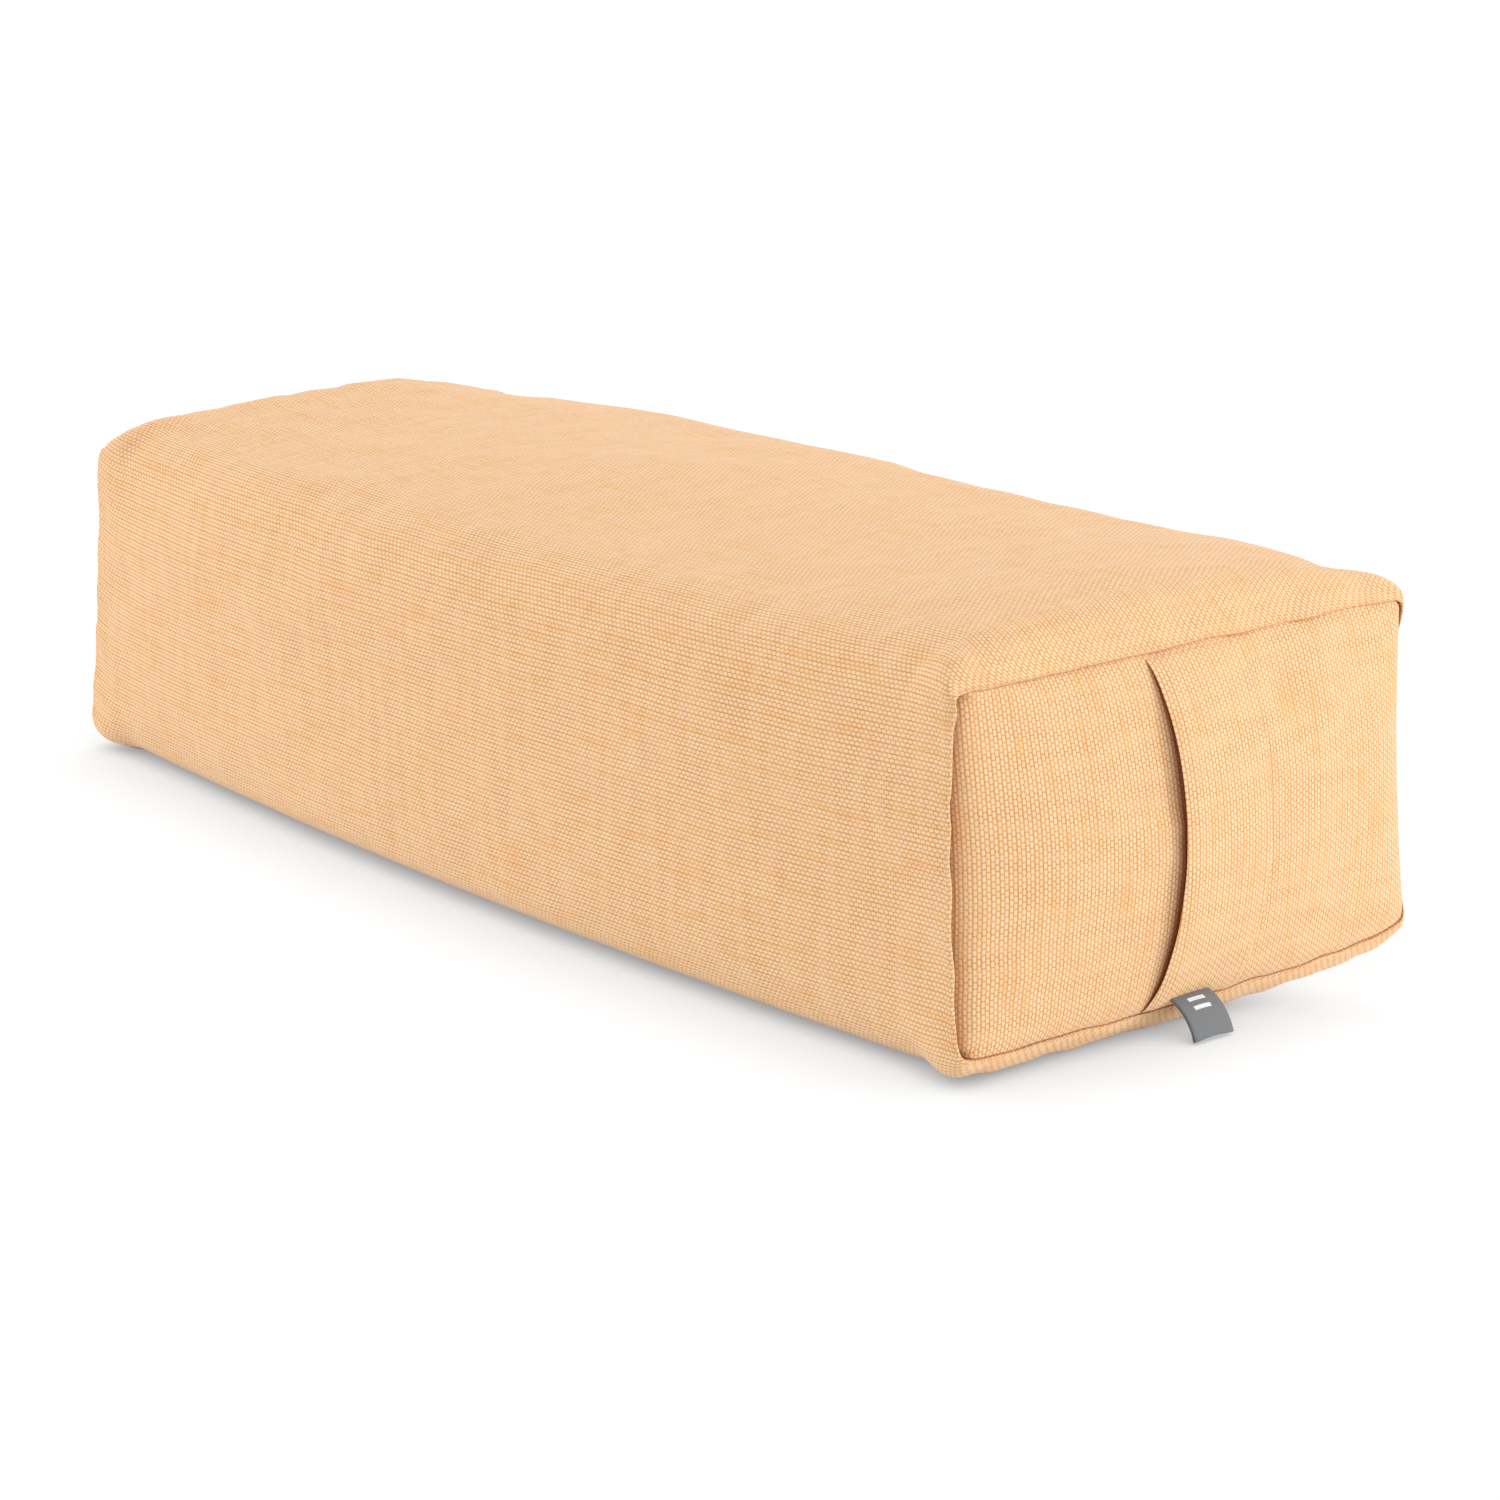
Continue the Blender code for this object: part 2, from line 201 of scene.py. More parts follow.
def arc_lengths(points, axis, start):
    """Distance along a grid's lines from index start."""
    steps = np.linalg.norm(np.diff(points, axis=axis), axis=-1)
    total = np.concatenate([np.zeros_like(np.take(steps, [0], axis)), np.cumsum(steps, axis)], axis)
    return total - np.take(total, [start], axis)


# ---------------- mesh helpers

def make_object(name, points, faces, weave=None, smooth=True):
    """Mesh object; weave gives each point's place on the cloth and, if a third value, its painted shade."""
    mesh = bpy.data.meshes.new(name)
    mesh.from_pydata(points.reshape(-1, 3).tolist(), [], faces)
    if weave is not None:
        attribute = mesh.attributes.new("weave", 'FLOAT_VECTOR', 'POINT')
        weave = weave.reshape(len(mesh.vertices), -1)
        flat = np.zeros((len(mesh.vertices), 3), np.float32)
        flat[:, :weave.shape[1]] = weave
        attribute.data.foreach_set("vector", flat.ravel())
    if smooth:
        mesh.shade_smooth()
    mesh.update()
    piece = bpy.data.objects.new(name, mesh)
    bpy.context.scene.collection.objects.link(piece)
    return piece


def grid_faces(rows, columns, closed=False, flip=False):
    """Quads of a grid of points, closed round its columns if asked."""
    faces = []
    for i in range(rows - 1):
        for j in range(columns if closed else columns - 1):
            n = (j + 1) % columns
            face = (i * columns + j, i * columns + n, (i + 1) * columns + n, (i + 1) * columns + j)
            faces.append(face[::-1] if flip else face)
    return faces


def thicken(piece, thickness, offset):
    solid = piece.modifiers.new("thickness", 'SOLIDIFY')
    solid.thickness = thickness
    solid.offset = offset
    solid.use_even_offset = False


# ---------------- the cushion's surface

def fullness(u, part):
    """1 over the middle part of the length, rounding off to 0 at the ends."""
    past = np.maximum(0, (np.abs(u) - part) / (1 - part))
    return np.maximum(0, 1 - past ** 2) ** SHOULDER_POWER


def cushion_points(u, a, b, inset=0.0):
    """Surface points for u along the length, -1 to 1, and (a, b) round the unit square."""
    full = fullness(u, FULL_PART)
    power = END_SQUARENESS + (MIDDLE_SQUARENESS - END_SQUARENESS) * full
    shrink = (np.abs(a) ** power + np.abs(b) ** power) ** (-1 / power)
    across, up = a * shrink, b * shrink
    plain = PLAIN_BULGE * np.maximum(0, 1 - u ** 2) ** PLAIN_POWER
    zipped = ZIP_BULGE * fullness(u, ZIP_FULL_PART)
    half_width = WIDTH / 2 + np.where(a < 0, plain, zipped) - inset
    crown = full * (CROWN + CROWN_TILT * u + CROWN_ENDS * u ** 8)
    humps = sum(rise * np.exp(-((u - place) / width) ** 2) for place, width, rise in HUMPS)
    top = LIFT + HEIGHT + crown
    bottom = LIFT * (1 - full) - BELLY * full
    middle, half_height = (top + bottom) / 2, (top - bottom) / 2 - inset
    z = middle + half_height * up
    # the zip's rows stay straight along the length
    straight = smoothstep(0.35, 0.0, b) * (a > 0.999) * smoothstep(0.9, 0.74, np.abs(u))
    still_top, still_bottom = LIFT + HEIGHT + CROWN, -BELLY
    still = (still_top + still_bottom) / 2 + ((still_top - still_bottom) / 2 - inset) * up
    z = z + (still - z) * straight
    z = z + CROSS_CROWN * full * (1 - across ** 2) ** 2 * np.clip(up, 0, 1) ** 3
    z = z + humps * (0.65 + 0.35 * across) * np.clip(up, 0, 1) ** 3
    y = half_width * across
    x = u * HALF
    return settle(np.stack(np.broadcast_arrays(x, y, z), -1), inset)


def settle(points, inset=0.0):
    """Bend the upright box shape as the real one sits: leaning ends, a slack far corner, ears."""
    x, y, z = (points[..., k].copy() for k in range(3))
    u = x / HALF
    near_end = np.clip(np.abs(u), 0, 1) ** 6
    height = (z - LIFT) / HEIGHT
    side = np.where(x > 0, 1.0, -1.0)
    pull = np.where(x > 0, TOP_PULL[1], TOP_PULL[-1])
    x -= side * (pull * height + SEAM_BOW * (1 - (2 * height - 1) ** 2)) * near_end
    y *= 1 - SHOULDER_PULL / (WIDTH / 2) * height * near_end
    # how far across, towards the zip's side and towards the plain one
    zip_share = np.clip(y / (WIDTH / 2), 0, 1)
    plain_share = np.clip(-y / (WIDTH / 2), 0, 1)
    upper = np.clip(2 * height - 1, 0, 1) ** 4
    z -= FAR_CORNER_DROP * upper * zip_share ** 3 * np.exp(-((u + 1) / 0.25) ** 2)
    z -= NEAR_CORNER_DROP * upper * plain_share ** 8 * np.exp(-((u + 1) / 0.06) ** 2)
    y -= ZIP_EDGE_BOW * (1 - (2 * height - 1) ** 2) * zip_share ** 3 * np.clip(np.abs(u), 0, 1) ** 14
    z -= ZIP_CORNER_DROP * upper * zip_share ** 3 * np.exp(-((u - 0.93) / 0.07) ** 2)
    z += CORNER_RISE * np.clip(1 - 2 * height, 0, 1) * zip_share ** 3 * np.exp(-((u - 1) / 0.12) ** 2)
    for end in (1, -1):
        for edge in (1, -1):
            for top in (1, -1):
                corner_x = end * (HALF - TOP_PULL[end] * (top > 0))
                corner_y, corner_z = edge * WIDTH / 2, LIFT + HEIGHT * (top > 0)
                away = np.sqrt((x - corner_x) ** 2 + (y - corner_y) ** 2 + (z - corner_z) ** 2)
                near = np.exp(-(away / EAR_REACH) ** 2) * EAR[end, edge]
                x += end * near * 0.5
                y += edge * near * (0.8 if top > 0 else 0.5)
                z += top * near * (0.7 if top > 0 else -0.3)
    # the near corner's seams are pinched just beside it
    at_seam = np.exp(-((HALF - x) / 0.012) ** 2)
    upright = np.exp(-((z - LIFT - HEIGHT + 0.0065) / 0.0045) ** 2 - ((y + WIDTH / 2) / 0.006) ** 2)
    level = np.exp(-((y + WIDTH / 2 - 0.013) / 0.0055) ** 2) * np.clip(2 * height - 1, 0, 1) ** 8
    y += PINCH * upright * at_seam
    z += 0.5 * PINCH * level * at_seam
    points = np.stack([x, y, z], -1)
    wave = SEAM_WAVE * waves(points, 0.024, 11) * np.exp(-((HALF - np.abs(x)) / 0.012) ** 2)
    points += np.stack([wave * 0, wave * (1 - height), wave], -1)
    points[..., 2] = np.maximum(points[..., 2], inset)
    return points


# ---------------- node materials

class Nodes:
    """A small helper to write a shader as expressions."""

    def __init__(self, name):
        self.material = bpy.data.materials.new(name)
        self.material.use_nodes = True
        self.tree = self.material.node_tree
        self.shader = self.tree.nodes["Principled BSDF"]

    def add(self, kind, inputs=(), output=0, **settings):
        node = self.tree.nodes.new(kind)
        for key, value in settings.items():
            setattr(node, key, value)
        for key, value in (inputs.items() if isinstance(inputs, dict) else enumerate(inputs)):
            if value is None:
                continue
            if isinstance(value, bpy.types.NodeSocket):
                self.tree.links.new(value, node.inputs[key])
            else:
                node.inputs[key].default_value = value
        return node.outputs[output]

    def math(self, operation, *values, clamp=False):
        return self.add('ShaderNodeMath', values, operation=operation, use_clamp=clamp)

    def parts(self, vector):
        """The x, y and z of a vector."""
        return tuple(self.add('ShaderNodeSeparateXYZ', [vector]).node.outputs)

    def weave(self):
        """The cloth coordinates written by make_object: across, along and painted shade."""
        return self.add('ShaderNodeAttribute', output=1, attribute_name="weave")

    def place(self):
        """The object's own coordinates, in metres."""
        return self.add('ShaderNodeTexCoord', output=3)

    def open_air(self, distance):
        """1 in the open, less where surfaces within the distance close in."""
        return self.add('ShaderNodeAmbientOcclusion', {"Distance": distance}, output=1, samples=6)

    def bump(self, strength, distance, height):
        return self.add('ShaderNodeBump', {"Strength": strength, "Distance": distance, "Height": height})

    def mix(self, factor, first, second):
        node = self.tree.nodes.new('ShaderNodeMix')
        node.data_type = 'RGBA'
        for key, value in (("Factor_Float", factor), ("A_Color", first), ("B_Color", second)):
            socket = next(s for s in node.inputs if s.identifier == key)
            if isinstance(value, bpy.types.NodeSocket):
                self.tree.links.new(value, socket)
            else:
                socket.default_value = value
        return next(s for s in node.outputs if s.identifier == "Result_Color")

    def ramp(self, value, low, high):
        """0 below low, 1 above high, smooth between."""
        inputs = {"Value": value, "From Min": low, "From Max": high}
        return self.add('ShaderNodeMapRange', inputs, interpolation_type='SMOOTHSTEP')

    def set(self, **values):
        for key, value in values.items():
            socket = self.shader.inputs[key.replace("_", " ")]
            if isinstance(value, bpy.types.NodeSocket):
                self.tree.links.new(value, socket)
            else:
                socket.default_value = value


def woven_cover():
    """Staggered pale floats in pairs of columns, with orange cross yarns between them."""
    n = Nodes("cover_fabric")
    place = n.weave()
    across, along, shade = n.parts(place)
    across = n.math('DIVIDE', across, FLOAT_PITCH)
    along = n.math('DIVIDE', along, FLOAT_PERIOD)
    column = n.math('FLOOR', across)
    stagger = n.math('MULTIPLY', n.math('FLOORED_MODULO', column, 2.0), 0.5)
    shifted = n.math('ADD', along, stagger)
    row = n.math('FLOOR', shifted)
    from_column = n.math('ABSOLUTE', n.math('SUBTRACT', n.math('FRACT', across), 0.5))
    from_row = n.math('ABSOLUTE', n.math('SUBTRACT', n.math('FRACT', shifted), 0.5))
    # a float is a soft oval
    wide = n.math('POWER', n.math('MULTIPLY', from_column, 2.0), 2.4)
    long = n.math('POWER', n.math('MULTIPLY', from_row, 2.0), 2.4)
    oval = n.math('SUBTRACT', 1.0, n.math('ADD', wide, long), clamp=True)
    # the gap after every second column is the deeper one
    pair = n.math('FRACT', n.math('MULTIPLY', across, 0.5))
    pair = n.math('MINIMUM', pair, n.math('SUBTRACT', 1.0, pair))
    groove = n.math('MULTIPLY', n.ramp(pair, 0.13, 0.02), 0.45)
    height = n.math('SUBTRACT', n.math('POWER', oval, 0.75), groove, clamp=True)
    cell = n.add('ShaderNodeCombineXYZ', [column, row, 0.0])
    chance = n.add('ShaderNodeTexWhiteNoise', {"Vector": cell}, noise_dimensions='3D')
    # slow changes along the yarns
    slub_place = n.add('ShaderNodeCombineXYZ', [column, n.math('MULTIPLY', along, 0.22), 0.0])
    slub = n.add('ShaderNodeTexNoise', {"Vector": slub_place, "Scale": 0.40, "Detail": 2.0}, output=0)
    pink = n.add('ShaderNodeTexNoise', {"Vector": place, "Scale": 70.0, "Detail": 3.0}, output=0)
    cross_place = n.add('ShaderNodeCombineXYZ', [n.math('MULTIPLY', across, 0.10), along, 4.0])
    cross = n.add('ShaderNodeTexNoise', {"Vector": cross_place, "Scale": 0.5, "Detail": 3.0}, output=0)
    darker = n.math('MULTIPLY', n.ramp(chance, 0.45, 1.0), 0.35)
    pale = n.mix(darker, srgb(237, 204, 165), srgb(229, 184, 133))
    pale = n.mix(n.math('MULTIPLY', n.ramp(pink, 0.46, 0.66), 0.40), pale, srgb(237, 192, 162))
    pale = n.mix(n.math('MULTIPLY', n.ramp(slub, 0.50, 0.70), 0.40), pale, srgb(234, 178, 104))
    under = n.mix(n.ramp(cross, 0.35, 0.65), srgb(208, 148, 84), srgb(218, 162, 102))
    colour = n.mix(n.ramp(height, 0.02, 0.75), under, pale)
    # painted shade in the deep gaps between layers, from ambient occlusion
    painted_hollow_shade = n.math('MULTIPLY', n.ramp(n.open_air(0.0045), 0.52, 0.22), 0.92)
    # painted shadow under the edge of the handle's band, only where the band closes in, so that it fades as
    # the band lifts
    x, y, z = n.parts(n.place())
    at_end = n.ramp(x, HALF - 0.022, HALF - 0.014)
    by_band = n.math('MULTIPLY', at_end, n.ramp(n.math('ABSOLUTE', y), 0.050, 0.042))
    by_band = n.math('MULTIPLY', by_band, n.ramp(z, 0.012, 0.022))
    slit_shadow = n.math('MULTIPLY', n.ramp(n.open_air(0.012), 0.48, 0.30), by_band)
    painted_hollow_shade = n.math('MAXIMUM', painted_hollow_shade, n.math('MULTIPLY', slit_shadow, 0.96))
    # a negative shade marks the top and bottom end seams, whose gaps keep less painted shade
    painted_hollow_shade = n.math('MULTIPLY', painted_hollow_shade, n.math('ADD', n.math('MINIMUM', shade, 0.0), 1.0))
    # gap is the share of painted shade: the larger of the occlusion shade and the shade written on the mesh
    gap = n.math('MAXIMUM', painted_hollow_shade, n.math('MULTIPLY', shade, 0.85))
    colour = n.mix(gap, colour, srgb(*PAINTED_SHADE_COLOUR))
    n.set(Base_Color=colour, Normal=n.bump(0.45, 0.0004, height), Roughness=0.92)
    n.set(Sheen_Weight=0.14, Sheen_Roughness=0.45)
    n.shader.inputs["Specular IOR Level"].default_value = 0.2
    return n.material


def woven_tag():
    """Grey twill with a plain mark of two short bars."""
    n = Nodes("tag_fabric")
    place = n.weave()
    u, v, _ = n.parts(place)
    across = n.math('MULTIPLY', u, 2 * pi / 0.00042)
    along = n.math('MULTIPLY', v, 2 * pi / 0.00050)
    twill = n.math('SINE', n.math('ADD', across, along))
    fine = n.math('MULTIPLY', n.math('ADD', twill, 1.0), 0.5)
    noise = n.add('ShaderNodeTexNoise', {"Vector": place, "Scale": 900.0}, output=0)
    colour = n.mix(fine, srgb(98, 101, 103), srgb(130, 133, 135))
    colour = n.mix(n.math('MULTIPLY', noise, 0.3), colour, srgb(92, 95, 98))
    inside_u = n.ramp(n.math('ABSOLUTE', u), 0.0047, 0.0045)
    from_middle = n.math('ABSOLUTE', n.math('SUBTRACT', v, 0.0110))
    off_bar = n.math('ABSOLUTE', n.math('SUBTRACT', from_middle, 0.0021))
    inside_v = n.ramp(off_bar, 0.0010, 0.0008)
    colour = n.mix(n.math('MULTIPLY', inside_u, inside_v), colour, srgb(226, 228, 230))
    n.set(Base_Color=colour, Normal=n.bump(0.4, 0.0001, fine), Roughness=0.75, Sheen_Weight=0.1)
    return n.material


def ribbed_tape():
    n = Nodes("zip_tape")
    x, _, z = n.parts(n.place())
    ribs = n.math('SINE', n.math('MULTIPLY', x, 2 * pi / 0.0009))
    rows = n.math('SINE', n.math('MULTIPLY', z, 2 * pi / 0.0007))
    mixed = n.math('MULTIPLY', n.math('ADD', n.math('ADD', ribs, rows), 2.0), 0.25)
    colour = n.mix(mixed, srgb(226, 180, 122), srgb(240, 202, 150))
    n.set(Base_Color=colour, Normal=n.bump(0.5, 0.0002, mixed), Roughness=0.85)
    return n.material


def nylon(name, colour, other):
    n = Nodes(name)
    noise = n.add('ShaderNodeTexNoise', {"Vector": n.place(), "Scale": 400.0}, output=0)
    n.set(Base_Color=n.mix(noise, colour, other), Roughness=0.38)
    return n.material


def satin_metal():
    n = Nodes("zip_metal")
    noise = n.add('ShaderNodeTexNoise', {"Vector": n.place(), "Scale": 900.0, "Detail": 4.0}, output=0)
    rough = n.math('ADD', n.math('MULTIPLY', noise, 0.2), 0.22)
    colour = n.mix(noise, srgb(176, 174, 170), srgb(206, 204, 200))
    n.set(Base_Color=colour, Metallic=1.0, Roughness=rough, Normal=n.bump(0.15, 0.0001, noise))
    return n.material


def plain_cotton(name, light, dark, pitch):
    n = Nodes(name)
    inputs = {"Vector": n.place(), "Scale": 1 / pitch, "Detail": 5.0}
    noise = n.add('ShaderNodeTexNoise', inputs, output=0)
    n.set(Base_Color=n.mix(noise, dark, light), Normal=n.bump(0.4, 0.0003, noise), Roughness=0.95)
    return n.material


COVER = woven_cover()
TAG = woven_tag()
TAPE = ribbed_tape()
COIL = nylon("zip_coil", srgb(240, 200, 148), srgb(226, 180, 124))
METAL = satin_metal()
COTTON = plain_cotton("inner_cotton", srgb(240, 236, 224), srgb(222, 214, 198), 0.0006)
FIBRE = plain_cotton("fibre_filling", srgb(250, 249, 246), srgb(228, 226, 220), 0.004)
THREAD = nylon("sewing_thread", srgb(246, 204, 148), srgb(232, 184, 122))


def finish_piece(piece, material, body="cushion", replaces=()):
    piece.data.materials.append(material)
    if body:
        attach(piece, body)
    if replaces:
        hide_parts(*replaces)
    return piece


# ---------------- wrinkles, by simulation

def simulate_wrinkles():
    """Blow the cover up, held at its end seams, and keep the fine part of how it moves."""
    scales = tuple(np.linspace(0.94, 0.08, 12))
    points, faces = closed_cushion(0.0, END_DOME, 24, 40, 120, scales)
    caps, (rows, columns) = len(scales), points.shape[:2]
    hull = make_object("wrinkle_trial", points, faces)
    pin = hull.vertex_groups.new(name="seams")
    for row in (caps, rows - caps - 1):
        pin.add(list(range(row * columns, (row + 1) * columns)), 1.0, 'REPLACE')
    cloth = hull.modifiers.new("cloth", 'CLOTH')
    settings = cloth.settings
    settings.quality = 6
    settings.mass = 0.25
    settings.tension_stiffness = 12
    settings.compression_stiffness = 12
    settings.shear_stiffness = 6
    settings.bending_stiffness = 0.25
    settings.vertex_group_mass = "seams"
    settings.shrink_min = -0.022
    settings.use_pressure = True
    settings.uniform_pressure_force = 3.0
    settings.effector_weights.gravity = 0
    cloth.point_cache.frame_end = SIMULATED_FRAMES
    scene = bpy.context.scene
    for step in range(1, SIMULATED_FRAMES + 1):
        scene.frame_set(step)
    settled = hull.evaluated_get(bpy.context.evaluated_depsgraph_get()).to_mesh()
    moved = np.empty(len(settled.vertices) * 3)
    settled.vertices.foreach_get("co", moved)
    moved = moved.reshape(points.shape) - points
    bpy.data.objects.remove(hull)
    scene.frame_set(1)
    broad = moved.copy()
    for _ in range(60):
        broad = (np.roll(broad, 1, 1) + np.roll(broad, -1, 1) + 2 * broad) / 4
        padded = np.concatenate([broad[:1], broad, broad[-1:]])
        broad = (padded[:-2] + padded[2:] + 2 * broad) / 4
    fine = (moved - broad) * WRINKLE_SHARE
    size = np.linalg.norm(fine, axis=-1, keepdims=True)
    fine *= np.minimum(1, WRINKLE_CAP / np.maximum(size, 1e-9))
    tree = KDTree(points.shape[0] * points.shape[1])
    for index, point in enumerate(points.reshape(-1, 3)):
        tree.insert(point, index)
    tree.balance()
    return tree, fine.reshape(-1, 3)


def wrinkle(points):
    """Move a piece's points as the simulated cover moved near them."""
    if WRINKLES is None:
        return points
    tree, moves = WRINKLES
    flat = points.reshape(-1, 3)
    result = np.empty_like(flat)
    for k, point in enumerate(flat):
        near = tree.find_n(point, 4)
        share = np.array([1 / (away + 1e-4) for _, _, away in near])
        result[k] = point + (moves[[index for _, index, _ in near]] * share[:, None]).sum(0) / share.sum()
    result = result.reshape(points.shape)
    result[..., 2] = np.maximum(result[..., 2], 0)
    return result


# ---------------- cover: wrap and end panels

def around_points():
    """Points round the unit square, starting and ending at the zip's line on the +Y side."""
    still_half = (LIFT + HEIGHT + CROWN + BELLY) / 2
    still_middle = (LIFT + HEIGHT + CROWN - BELLY) / 2
    zip_b = (ZIP_Z - still_middle) / still_half
    # close steps beside the zip's line: in the slot, on its edge and over its lip
    near = np.array([0.0, 0.0010, 0.0022, 0.0034, 0.0041, 0.0044, 0.0047, 0.0052, 0.0062, 0.0078, 0.0100])
    near = near / still_half
    up = np.concatenate([zip_b + near, spread(zip_b + near[-1], 1, 34, 0.5)[1:-1]])
    legs = [(1.0, value) for value in up]
    legs += [(value, 1.0) for value in spread(1, -1, 84)[:-1]]
    legs += [(-1.0, value) for value in spread(1, -1, 52)[:-1]]
    legs += [(value, -1.0) for value in spread(-1, 1, 52)[:-1]]
    down = np.concatenate([spread(-1, zip_b - near[-1], 14, 0.5)[:-1], zip_b - near[::-1]])
    legs += [(1.0, value) for value in down]
    return np.array(legs)


def fold_lips(end, ring):
    """Rings that fold a wrap's end edge inwards, then run back into the end seam."""
    inward = (ring.mean(0) - ring) * (0, 1, 1)
    inward /= np.linalg.norm(inward, axis=1, keepdims=True)
    upright = np.clip(-ring[:, 1:2] / (WIDTH / 2), 0, 1) ** 8
    roll = ROLL * (0.6 + 0.9 * upright)
    outward = np.array((end, 0, 0))
    lips = [ring + inward * roll * (1 - cos(t)) + outward * roll * sin(t)
            for t in np.radians([25, 55, 90, 125, 155])]
    lips += [lips[-1] - outward * SEAM_DEPTH * k for k in (0.3, 1.0)]
    return np.array(lips)


def make_wrap():
    legs = around_points()
    a, b = legs[None, :, 0], legs[None, :, 1]
    u = np.sin(pi / 2 * np.linspace(-1, 1, WRAP_ROWS))[:, None]
    points = cushion_points(u, a, b)
    normal = -grid_normals(points)
    # soft unevenness of the stuffing, and puckers that fade away from the end seams
    from_seam = HALF - np.abs(points[..., 0])
    calm = smoothstep(0.0, 0.05, from_seam) * smoothstep(0.0, 0.03, points[..., 2])
    uneven = 0.0006 * waves(points, 0.16, 3) + 0.0004 * waves(points, 0.045, 5)
    pucker = 0.0007 * waves(points * (0.35, 1, 1), 0.020, 8) * np.exp(-from_seam / 0.022)
    pucker *= smoothstep(0.0, 0.004, from_seam)
    zip_zone = smoothstep(0.030, 0.012, np.abs(points[..., 2] - ZIP_Z)) * (points[..., 1] > 0)
    free = (1 - zip_zone)[..., None]
    wrinkled = (wrinkle(points) - points) * smoothstep(0.001, 0.012, from_seam)[..., None]
    points = points + (wrinkled + normal * (uneven * calm + pucker)[..., None]) * free
    # slot of the zip, and the short seams that carry its line on to the end seams
    columns = np.arange(len(legs))
    step = np.minimum(columns, columns[::-1])[None, :]
    beyond = smoothstep(SLOT_HALF_LENGTH - 0.0005, SLOT_HALF_LENGTH + 0.0010, np.abs(points[..., 0]))
    seam_line = 0.0004 + 0.0016 * smoothstep(0.0, 0.05, from_seam)
    slot = 0.0040 * (step <= 5) * (1 - beyond) + seam_line * np.exp(-(step / 1.1) ** 2) * beyond
    lip = 0.0005 * np.exp(-((step - 8) / 1.5) ** 2) * (1 - beyond)
    points[..., 1] += lip - slot
    points[..., 2] = np.maximum(points[..., 2], 0)
    points = np.concatenate([fold_lips(-1, points[0])[::-1], points, fold_lips(1, points[-1])])
    side_middle = int(np.argmin(np.abs(legs[:, 1]) + 10 * (legs[:, 0] > -1)))
    # the wrap's edges at the top and bottom end seams lose painted shade
    level = np.repeat((np.abs(legs[:, 1]) == 1)[None, :], len(points), 0)
    seam_shade_cut = np.where(level & (HALF - np.abs(points[..., 0]) < SEAM_SHADE_CUT_REACH), -SEAM_SHADE_CUT, 0.0)
    across, along = arc_lengths(points, 1, side_middle), arc_lengths(points, 0, len(points) // 2)
    weave = np.stack([across, along, seam_shade_cut], -1)
    wrap = make_object("cover_wrap_fabric", points, grid_faces(*points.shape[:2]), weave)
    thicken(wrap, FABRIC, -1)
    finish_piece(wrap, COVER, replaces=["cover_wrap"])


def panel_points(end):
    """Grid over an end panel, with its places across (q) and up (p), each from -1 to 1."""
    q, p = np.meshgrid(spread(-1, 1, PANEL_COLUMNS, 0.85), spread(-1, 1, PANEL_ROWS, 0.85))
    reach = np.maximum(np.abs(p), np.abs(q))
    edge_p, edge_q = p / np.maximum(reach, 1e-9), q / np.maximum(reach, 1e-9)
    power = END_SQUARENESS
    shrink = (np.abs(edge_p) ** power + np.abs(edge_q) ** power) ** (-1 / power)
    scale = 1 + (shrink - 1) * reach ** 4
    zip_side = smoothstep(-1, 1, q)
    y = (WIDTH / 2 - PANEL_INSET - 0.0036 * (1 - zip_side)) * q * scale
    z = LIFT + HEIGHT / 2 + (HEIGHT / 2 - PANEL_INSET) * p * scale
    bulge = END_DOME * ((1 - q ** 2) * (1 - p ** 2)) ** DOME_POWER
    bulge += SEAM_BOW * (1 - p ** 2) * (1 - q ** 8)
    # sunk along its seams, deepest on the plain side and under its top corner
    from_side, from_top = (1 - np.abs(q)) * WIDTH / 2, (1 - np.abs(p)) * HEIGHT / 2
    deep = 0.0050 + 0.0040 * np.exp(-(1 - p) * HEIGHT / 2 / 0.016)
    bulge -= deep * (1 - zip_side) * np.exp(-from_side / 0.0026)
    bulge += np.where(p > 0, 0.0005, -0.0003) * np.exp(-from_top / 0.0012)
    # it turns fully round before the seam on the zip side
    bulge += ZIP_SIDE_TURN * smoothstep(0.6, 1, q) * (1 - np.exp(-from_side / 0.0020)) * (1 - p ** 8)
    points = settle(np.stack([np.full_like(y, end * HALF), y, z], -1))
    points[..., 0] += end * bulge
    return points, p, q


def border_index(rows, columns):
    """Indices of a grid's border points, once round."""
    loop = [(0, j) for j in range(columns)] + [(i, columns - 1) for i in range(1, rows)]
    loop += [(rows - 1, j) for j in range(columns - 2, -1, -1)] + [(i, 0) for i in range(rows - 2, 0, -1)]
    return np.array([i * columns + j for i, j in loop])


